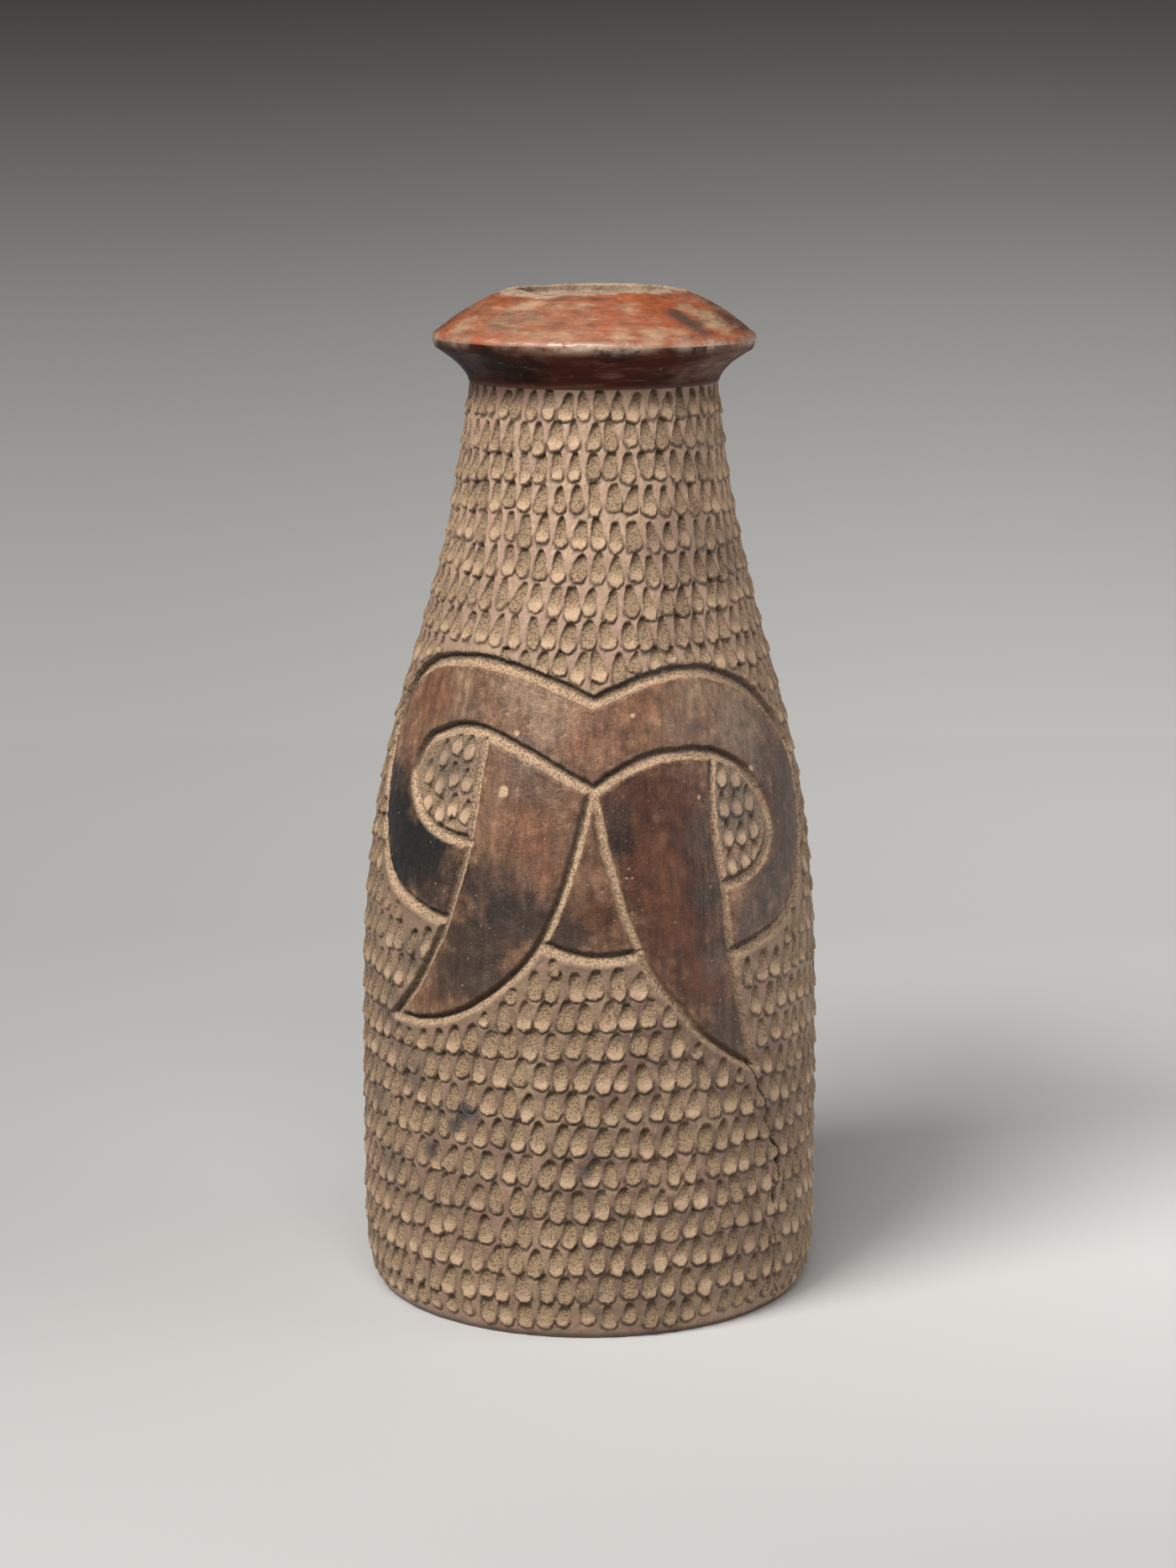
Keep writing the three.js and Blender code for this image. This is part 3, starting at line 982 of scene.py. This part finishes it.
# Colours of the collar's slip
SLIP_RED = (0.278, 0.068, 0.023)
SLIP_ROSE = (0.258, 0.095, 0.048)
SLIP_TAN = (0.368, 0.260, 0.160)
SLIP_GREY = (0.225, 0.142, 0.085)
SLIP_DARK = (0.075, 0.042, 0.030)
UNDER_RED = (0.064, 0.012, 0.006)
UNDER_MAROON = (0.030, 0.008, 0.005)
UNDER_BLACK = (0.006, 0.004, 0.002)
UNDER_TAN = (0.17, 0.100, 0.068)
# Pale ridge clay, made brighter to paint the ridge's highlight as well as its wear
WORN_CLAY_AND_HIGHLIGHT = (0.400, 0.300, 0.220)
BROKEN_CLAY = (0.350, 0.240, 0.160)
BROKEN_DARK = (0.200, 0.130, 0.085)
SLIP_COLOURS = {
    "red": SLIP_RED, "rose": SLIP_ROSE, "tan": SLIP_TAN, "grey": SLIP_GREY, "dark": SLIP_DARK,
}
UNDER_COLOURS = {"red": UNDER_RED, "black": UNDER_BLACK, "tan": UNDER_TAN, "dark": UNDER_MAROON}
DARK_SLIP_ROUGHNESS = 0.56
RED_SLIP_ROUGHNESS = 0.42
WORN_ROUGHNESS = 0.21


def on_collar(patches):
    """Patches given as kind, angle, height, the collar's radius there, size, strength."""
    placed = []
    for kind, angle, height, radius, size, power in patches:
        placed.append((kind, on_bottle(angle, height, radius), size * MM, power))
    return placed


# The dark patches at 76°, 80° and 88°, and at -84° and -88°, darken the cap towards its outline:
# painted shade
CAP_PATCHES = on_collar([
    ("rose", -18, 291, 41, 9, 0.6), ("grey", -28, 292, 39, 7, 0.6), ("rose", -50, 292, 39, 8, 0.5),
    ("red", -58, 295.5, 33.5, 5, 0.7), ("tan", -34, 295, 33, 5, 0.7),
    ("tan", -18, 295.6, 32.5, 4.5, 0.7), ("tan", -6, 295.4, 33, 3.5, 0.5),
    ("grey", -42, 291.6, 39.5, 5.5, 0.75), ("grey", -31, 289.4, 43, 5.5, 0.55),
    ("dark", -30, 292, 39, 4.5, 0.3), ("tan", -12, 288, 45, 4, 0.4), ("tan", -60, 289.5, 43, 5, 0.6),
    ("tan", -22, 288, 45, 3.5, 0.4), ("tan", 10, 288, 45, 3.4, 0.6), ("tan", 22, 288, 45, 4, 0.6),
    ("tan", 33, 288, 45, 3.5, 0.5), ("tan", 17, 294.6, 34.5, 3, 0.5), ("tan", 58, 291, 41, 5, 0.75),
    ("tan", 50, 294.5, 34.5, 3.5, 0.5), ("dark", 76, 291, 42, 6, 0.85), ("dark", 80, 294, 35, 5, 0.8),
    ("dark", 88, 288, 46, 6, 0.8), ("dark", -84, 293, 37, 6, 0.7), ("dark", -88, 288, 46, 6, 0.7),
    ("dark", -1.4, 290.9, 41.2, 1.9, 0.65), ("dark", 38.5, 292.6, 38, 2.8, 0.9),
    ("dark", 42, 290.4, 41.5, 3.1, 0.9), ("dark", 44.5, 288.2, 44.5, 3.2, 0.85),
])
UNDER_PATCHES = on_collar([
    ("black", -62, 279, 42.5, 10, 0.9), ("black", -42, 280, 43, 9, 0.9),
    ("black", -26, 277, 40, 6, 0.8), ("tan", -20, 281.5, 44.5, 3.5, 0.45),
    ("black", 8, 282.8, 46, 4.5, 0.7), ("red", -8, 278, 41, 8, 0.8), ("red", 30, 279, 42, 9, 0.6),
    ("tan", 60, 279, 42, 9, 0.6), ("tan", 40, 275.5, 38.5, 6, 0.5),
])


def collar_material(name, base, second, colours, patches, roughness, shine):
    """Streaky slip rubbed round the collar, bare where it broke; its pale ridge is wear and a painted
    highlight.
    """
    material, g, shader = new_material(name, shine)
    g.brush = (0.5, 0.5, 2.6)
    g.raggedness = 3.0
    g.flatness = 1.8
    inside, wear_and_highlight, broken, seam = map(g.attribute, ("inside", "wear_and_highlight", "broken", "seam"))
    strokes = g.noise(240.0, 6.0, 0.68, (0.35, 0.35, 2.4))
    slip = g.mix(g.span(g.noise(60.0, 5.0, 0.62), 0.38, 0.62), base, second)
    slip = g.patches(slip, patches, colours)
    slip = g.mix(g.span(strokes, 0.52, 0.67, 0.0, 0.45), slip, colours["tan"])
    slip = g.mix(g.span(strokes, 0.34, 0.48, 0.5, 0.0), slip, colours["dark"])
    smears = g.noise(520.0, 5.0, 0.72, (0.4, 0.4, 1.6))
    slip = g.scaled(slip, g.span(smears, 0.34, 0.66, 0.78, 1.2))
    slip = g.mix(g.span(g.noise(480.0, 3.0), 0.66, 0.73, 0.0, 0.5), slip, colours["tan"])
    # Along the ridge the pale clay is wear and a painted highlight
    rub_and_highlight = g.times(wear_and_highlight, g.span(g.noise(210.0, 7.0, 0.75), 0.34, 0.54))
    slip = g.mix(rub_and_highlight, slip, WORN_CLAY_AND_HIGHLIGHT)
    # At its seam the collar takes the painted shadow colour: partly a dark joint, partly painted shade
    # under the collar
    slip = g.mix(g.times(seam, 0.8), slip, PAINTED_COLLAR_SHADOW)
    clay = g.mix(g.span(g.noise(260.0, 5.0, 0.65), 0.42, 0.66), BROKEN_CLAY, BROKEN_DARK)
    colour = g.mix(broken, slip, clay)
    colour = g.mix(inside, colour, GROUND_BROWN)
    g.link(colour, shader.inputs["Base Color"])
    sheen = g.span(g.noise(110.0, 5.0), 0.34, 0.66, roughness - 0.07, roughness + 0.12)
    sheen = g.blend(wear_and_highlight, sheen, WORN_ROUGHNESS)
    g.link(g.blend(broken, sheen, 0.95), shader.inputs["Roughness"])
    grain = g.times(g.noise(1000.0, 5.0, 0.65), g.blend(broken, 0.2, 0.7))
    g.link(g.bump(g.math("ADD", grain, g.times(strokes, 0.3)), 0.0005), shader.inputs["Normal"])
    return material


gouged_clay = clay_material()
dark_slip = collar_material(
    "dark_slip", UNDER_RED, UNDER_MAROON, UNDER_COLOURS, UNDER_PATCHES, DARK_SLIP_ROUGHNESS,
    DARK_SLIP_SHINE,
)
red_slip = collar_material(
    "red_slip", SLIP_RED, SLIP_ROSE, SLIP_COLOURS, CAP_PATCHES, RED_SLIP_ROUGHNESS, RED_SLIP_SHINE
)

# Wall courses and floor slab
body_grid = ring_grid(RADII[:, None] + relief, HEIGHTS[:, None])
body_normals = grid_normals(body_grid)
BODY_LAYERS = {
    "gouge": gouge, "hollow": hollow, "crease": crease, "groove": groove, "band": smooth_band,
    "crack": crack, "chip": chip,
}
INNER_RIPPLE = 0.35
RIPPLE_PER_MM = 0.48

# The foot is very slightly hollow under its middle. Rings as shares of a radius
FOOT_HOLLOW = 0.25
UNDERSIDE_RINGS = np.array([0.3, 0.6, 0.8, 0.92, 0.98])
FLOOR_RINGS = (1.0, 0.6, 0.2)


def marked_rows(first, last):
    """The outer grid, its normals and its marks from one row to another, both included."""
    rows = slice(first, last + 1)
    layers = {name: values[rows] for name, values in BODY_LAYERS.items()}
    return body_grid[rows], body_normals[rows], layers


def wall_piece(number):
    first = SLAB_ROWS + (number - 1) * ROWS_PER_COURSE
    last = first + ROWS_PER_COURSE
    heights = np.linspace(HEIGHTS[last], HEIGHTS[first], INNER_ROWS + 1)
    radii = inner_radius(heights)
    radii[1:-1] += INNER_RIPPLE * np.sin(heights[1:-1] * RIPPLE_PER_MM)
    after = plain_rings(np.stack([radii, heights], 1))
    return build_piece(f"clay_course_{number:02d}", *marked_rows(first, last), after)


def slab_piece():
    rise = FOOT_HOLLOW * (1 - UNDERSIDE_RINGS**6)
    before = plain_rings(np.stack([UNDERSIDE_RINGS * FOOT_RADIUS, rise], 1))
    after = plain_rings([(share * inner_radius(FLOOR_TOP), FLOOR_TOP) for share in FLOOR_RINGS])
    poles = ((0, 0, FOOT_HOLLOW * MM), (0, 0, FLOOR_TOP * MM))
    return build_piece("foot_slab", *marked_rows(0, SLAB_ROWS), after, before, poles)


finish_piece(slab_piece(), "floor_slab", gouged_clay)
for number, node in enumerate(COURSE_NAMES, 1):
    finish_piece(wall_piece(number), node, gouged_clay)


# Collar: underside, shoulder and broken lip are cut from one grid, so that they meet ring to ring
def along_outline(points):
    """(radius, height) points at even steps along an outline."""
    points = np.array(points, float)
    run = np.concatenate([[0], np.cumsum(np.hypot(*np.diff(points, axis=0).T))])
    at = np.linspace(0, run[-1], max(2, int(run[-1] / COLLAR_STEP)) + 1)
    return np.stack([np.interp(at, run, points[:, 0]), np.interp(at, run, points[:, 1])], 1)


# The collar's outline as (radius, height), from the seam on the neck up to the seam of the lip.
# Its ridge is a rounded nose, and the points beside its seam pull the curves
SEAM_STEP = (NECK_RADIUS + 0.55, NECK_TOP + 0.35)
FLARE_FOOT = (NECK_RADIUS + 0.6, NECK_TOP + 0.9)
FLARE_HOLLOW = (NECK_RADIUS + 2.3, NECK_TOP + 5.3)
NOSE_UNDER = (RIDGE_RADIUS - 1.1, NECK_TOP + 9.8)
NOSE_PULL_UNDER = (RIDGE_RADIUS - 0.2, RIDGE_SEAM - 1.1)
NOSE_SEAM = (RIDGE_RADIUS, RIDGE_SEAM)
NOSE_PULL_OVER = (RIDGE_RADIUS + 0.1, RIDGE_SEAM + 1.4)
NOSE_OVER = (RIDGE_RADIUS - 1.9, RIDGE_SEAM + 2.5)
CAP_PULL = (39.0, LIP_SEAM - 3.6)
CAP_TOP = (LIP_OUTER_RADIUS, LIP_SEAM)
FLARE_CURVES = [
    [(NECK_RADIUS, NECK_TOP), SEAM_STEP],
    bezier([FLARE_FOOT, FLARE_HOLLOW, NOSE_UNDER], 12),
    bezier([NOSE_UNDER, NOSE_PULL_UNDER, NOSE_SEAM], 6)[1:],
]
CAP_CURVES = [
    bezier([NOSE_SEAM, NOSE_PULL_OVER, NOSE_OVER], 8),
    bezier([NOSE_OVER, CAP_PULL, CAP_TOP], 10)[1:],
]
FLARE_OUTSIDE = along_outline(np.vstack(FLARE_CURVES))
CAP_OUTSIDE = along_outline(np.vstack(CAP_CURVES))
LIP_OUTSIDE = along_outline(
    [
        CAP_TOP,
        (LIP_OUTER_RADIUS - 2.8, MOUTH_TOP - 2.0),
        (MOUTH_RADIUS + 4.5, MOUTH_TOP - 1.1),
        (MOUTH_RADIUS + 1.0, MOUTH_TOP - 0.5),
        (MOUTH_RADIUS, MOUTH_TOP - 1.3),
        (MOUTH_RADIUS, LIP_SEAM),
    ]
)
COLLAR_OUTLINE = np.vstack([FLARE_OUTSIDE, CAP_OUTSIDE[1:], LIP_OUTSIDE[1:]])
RIDGE_ROW = len(FLARE_OUTSIDE) - 1
LIP_ROW = RIDGE_ROW + len(CAP_OUTSIDE) - 1
END_ROW = len(COLLAR_OUTLINE) - 1
SEAM_ROWS = (0, RIDGE_ROW, LIP_ROW, END_ROW)
LIP_CREST_ROW = LIP_ROW + len(LIP_OUTSIDE) // 2

COLLAR_RADII = np.repeat(COLLAR_OUTLINE[:, :1], COLUMNS, 1)
COLLAR_HEIGHTS = np.repeat(COLLAR_OUTLINE[:, 1:], COLUMNS, 1)
COLLAR_PLACE = (COLLAR_RADII * np.sin(ANGLES), -COLLAR_RADII * np.cos(ANGLES), COLLAR_HEIGHTS)

# Wear of the collar: how much is gone off the lip and off one side of it, the least that the lip
# stands above its seam, the depth of the ridge's nicks, and how far the ridge tilts
LIP_LOSS = 0.55
LIP_BREAK = 0.9
LIP_BREAK_ANGLE = -36.0
LIP_LEDGE = 0.3
RIDGE_NICKS = 0.55
RIDGE_TILT = 0.33
COLLAR_SWELL = 0.22
COLLAR_ROUGHNESS = 0.05


def collar_relief():
    """How far the collar stands off its turned outline, along the outline's own normal."""
    row = np.arange(len(COLLAR_OUTLINE))[:, None]
    uneven = COLLAR_SWELL * noise(COLLAR_PLACE, scale=22.0, octaves=3, seed=21)
    uneven += COLLAR_ROUGHNESS * noise(COLLAR_PLACE, scale=3.0, octaves=2, seed=23)
    nicks = noise(COLLAR_PLACE, scale=4.5, octaves=3, seed=41).clip(0.15, 1) - 0.15
    ridge = -RIDGE_NICKS * hump(COLLAR_HEIGHTS, RIDGE_SEAM + 0.5, 2.2) * nicks
    on_lip = smooth_step(LIP_ROW - 2, LIP_ROW + 6, row)
    crumbled = 0.3 * noise(COLLAR_PLACE, scale=8.0, octaves=3, seed=52)
    crumbled += 0.1 * noise(COLLAR_PLACE, scale=2.2, octaves=3, seed=53)
    crumbled = on_lip * (crumbled - LIP_LOSS)
    at_break = hump(np.degrees(ANGLES), LIP_BREAK_ANGLE, 20.0)
    lost = -LIP_BREAK * at_break * on_lip * (row < END_ROW - 5)
    return uneven + ridge + crumbled + lost


def collar_surface():
    along = np.gradient(COLLAR_OUTLINE, axis=0)
    along /= np.hypot(along[:, 0], along[:, 1])[:, None]
    row = np.arange(len(COLLAR_OUTLINE))
    from_seam = np.min([np.abs(row - seam) for seam in SEAM_ROWS], axis=0)
    free = np.clip(from_seam / 4.0, 0, 1)[:, None]
    pushed = collar_relief()
    ends = np.isin(row, (0, END_ROW))[:, None]
    pushed = np.where(ends, 0, pushed)
    radii = COLLAR_RADII + pushed * along[:, 1:]
    heights = COLLAR_HEIGHTS - pushed * along[:, :1] * free
    askew = RIDGE_TILT * hump(COLLAR_HEIGHTS, RIDGE_SEAM + 1.0, 5.0)
    heights -= np.where(np.isin(row, (0, LIP_ROW, END_ROW))[:, None], 0, askew) * np.sin(ANGLES)
    on_broken_side = ((row > LIP_ROW) & (row < LIP_CREST_ROW))[:, None]
    heights = np.where(on_broken_side, np.maximum(heights, LIP_SEAM + LIP_LEDGE), heights)
    return ring_grid(radii, heights)


collar_grid = collar_surface()
collar_normals = grid_normals(collar_grid)
BROKEN_FROM = LIP_SEAM + 2.2
crumble = noise(COLLAR_PLACE, scale=7.0, octaves=4, seed=61)
# The ridge's pale band paints a highlight as well as wear
patchy_wear_and_highlight = (0.7 + 0.7 * noise(COLLAR_PLACE, scale=9.0, octaves=3, seed=62)).clip(0, 1)
COLLAR_LAYERS = {
    "wear_and_highlight": hump(COLLAR_HEIGHTS, RIDGE_SEAM + 0.2, 1.6) * patchy_wear_and_highlight,
    "broken": smooth_step(-0.25, 0.25, (COLLAR_HEIGHTS - BROKEN_FROM) + 0.7 * crumble),
    "seam": hump(COLLAR_HEIGHTS, NECK_TOP, 0.7),
}
COLLAR_LAYERS["broken"][LIP_CREST_ROW:] = 1.0


def collar_piece(name, first, last, inside):
    rows = slice(first, last + 1)
    layers = {key: values[rows] for key, values in COLLAR_LAYERS.items()}
    return build_piece(name, collar_grid[rows], collar_normals[rows], layers, plain_rings(inside))


FLARE_INSIDE = [(RIDGE_INNER_RADIUS, RIDGE_SEAM), (NECK_RADIUS - WALL, NECK_TOP)]
CAP_INSIDE = [(MOUTH_RADIUS, LIP_SEAM), (MOUTH_RADIUS, LIP_SEAM - LIP_DEPTH_INSIDE), FLARE_INSIDE[0]]
LIP_MIDDLE = [((MOUTH_RADIUS + LIP_OUTER_RADIUS) / 2, LIP_SEAM)]
underside = collar_piece("collar_underside", 0, RIDGE_ROW, FLARE_INSIDE)
shoulder = collar_piece("collar_shoulder", RIDGE_ROW, LIP_ROW, CAP_INSIDE)
lip = collar_piece("broken_lip", LIP_ROW, END_ROW, LIP_MIDDLE)
finish_piece(underside, "collar_flare", dark_slip)
finish_piece(shoulder, "collar_top", red_slip)
finish_piece(lip, "mouth_lip", red_slip)

# Floor and backdrop, one sweep, in metres. Its colour changes along its run, which is y plus z:
# each row of tones has a run, and the tone there at the left and at the right
SWEEP_HALF_WIDTH = 2.5
SWEEP_FRONT = -2.2
SWEEP_BACK = 1.6
SWEEP_HEIGHT = 2.6
SWEEP_BEND = 0.7
BEND_STEPS = 24
RUN_LOW, RUN_HIGH = -0.4, 2.2
# These tones are painted light: the sweep darkens up the backdrop and is lighter on its right side
SWEEP_TONES = [
    (-0.22, 0.459, 0.465), (0.0, 0.393, 0.71), (0.2, 0.424, 0.66), (0.45, 0.473, 0.655),
    (0.72, 0.589, 0.793), (0.92, 0.669, 0.865), (1.08, 0.577, 0.724), (1.28, 0.478, 0.582),
    (1.46, 0.379, 0.45), (1.6, 0.291, 0.346), (1.75, 0.181, 0.217), (1.9, 0.085, 0.106),
    (2.0, 0.038, 0.05),
]
# The x over which the left tones give way to the right ones
SWEEP_ACROSS = (-0.35, 0.35)
SWEEP_TINT = (1.0, 0.99, 0.975)
SWEEP_ROUGHNESS = 0.9


def stage_sweep():
    profile = [(SWEEP_FRONT, 0.0)]
    for turn in np.linspace(0, math.pi / 2, BEND_STEPS):
        depth = SWEEP_BACK - SWEEP_BEND + SWEEP_BEND * math.sin(turn)
        profile.append((depth, SWEEP_BEND - SWEEP_BEND * math.cos(turn)))
    profile.append((SWEEP_BACK, SWEEP_HEIGHT))
    vertices = [(side * SWEEP_HALF_WIDTH, y, z) for y, z in profile for side in (-1, 1)]
    faces = [(2 * n, 2 * n + 1, 2 * n + 3, 2 * n + 2) for n in range(len(profile) - 1)]
    mesh = bpy.data.meshes.new("studio_sweep")
    mesh.from_pydata(vertices, [], faces)
    for face in mesh.polygons:
        face.use_smooth = True
    sweep = bpy.data.objects.new("studio_sweep", mesh)
    bpy.context.scene.collection.objects.link(sweep)
    material, g, shader = new_material("studio_paper")
    run = g.math("ADD", g.part_of_place(1), g.height())
    share = g.math("DIVIDE", g.math("SUBTRACT", run, RUN_LOW), RUN_HIGH - RUN_LOW)
    sides = []
    for side in (1, 2):
        ramp = g.node("ShaderNodeValToRGB")
        g.link(share, ramp.inputs["Fac"])
        stops = ramp.color_ramp.elements
        while len(stops) < len(SWEEP_TONES):
            stops.new(0.5)
        for stop, tones in zip(stops, SWEEP_TONES):
            stop.position = (tones[0] - RUN_LOW) / (RUN_HIGH - RUN_LOW)
            stop.color = (*(tones[side] * tint for tint in SWEEP_TINT), 1.0)
        sides.append(ramp.outputs["Color"])
    across = g.span(g.sideways(), *SWEEP_ACROSS)
    g.link(g.mix(across, *sides), shader.inputs["Base Color"])
    shader.inputs["Roughness"].default_value = SWEEP_ROUGHNESS
    mesh.materials.append(material)


stage_sweep()

# Camera, at the photograph's place, in metres and degrees
CAMERA_DISTANCE = 1.0275
CAMERA_HEIGHT = 0.3522
CAMERA_PITCH = 11.06
CAMERA_FIELD = 25.31
CAMERA_SIDE = -0.0004

camera_data = bpy.data.cameras.new("camera")
camera_data.sensor_fit = "AUTO"
camera_data.angle = math.radians(CAMERA_FIELD)
camera = bpy.data.objects.new("camera", camera_data)
camera.location = (CAMERA_SIDE, -CAMERA_DISTANCE, CAMERA_HEIGHT)
camera.rotation_euler = (math.radians(90 - CAMERA_PITCH), 0, 0)
bpy.context.scene.collection.objects.link(camera)
bpy.context.scene.camera = camera


WARM_WHITE = (1.0, 0.98, 0.95)
WHITE = (1.0, 1.0, 1.0)
SKY_TINT = (0.93, 0.95, 1.0, 1.0)
WORLD_LIGHT = 0.145
BODY_MIDDLE = (0, 0, 0.15)
BODY_LOW = (0, 0, 0.08)


def area_light(name, place, aim, size, watts, colour):
    data = bpy.data.lights.new(name, "AREA")
    data.shape = "ELLIPSE"
    data.size, data.size_y = size
    data.energy = watts
    data.color = colour
    light = bpy.data.objects.new(name, data)
    light.location = place
    light.rotation_euler = (Vector(aim) - Vector(place)).to_track_quat("-Z", "Y").to_euler()
    bpy.context.scene.collection.objects.link(light)


area_light("key_light", (-0.84, -1.00, 1.50), BODY_MIDDLE, (1.0, 0.65), 40.5, WARM_WHITE)
area_light("front_light", (-0.05, -1.20, 1.50), BODY_MIDDLE, (1.3, 0.4), 15.0, WARM_WHITE)
area_light("fill_light", (1.48, -0.20, 0.25), BODY_LOW, (1.0, 1.0), 10.0, WHITE)

world = bpy.data.worlds.new("studio")
world.use_nodes = True
background = world.node_tree.nodes["Background"]
background.inputs["Color"].default_value = SKY_TINT
background.inputs["Strength"].default_value = WORLD_LIGHT
bpy.context.scene.world = world
bpy.context.scene.view_settings.view_transform = "Standard"
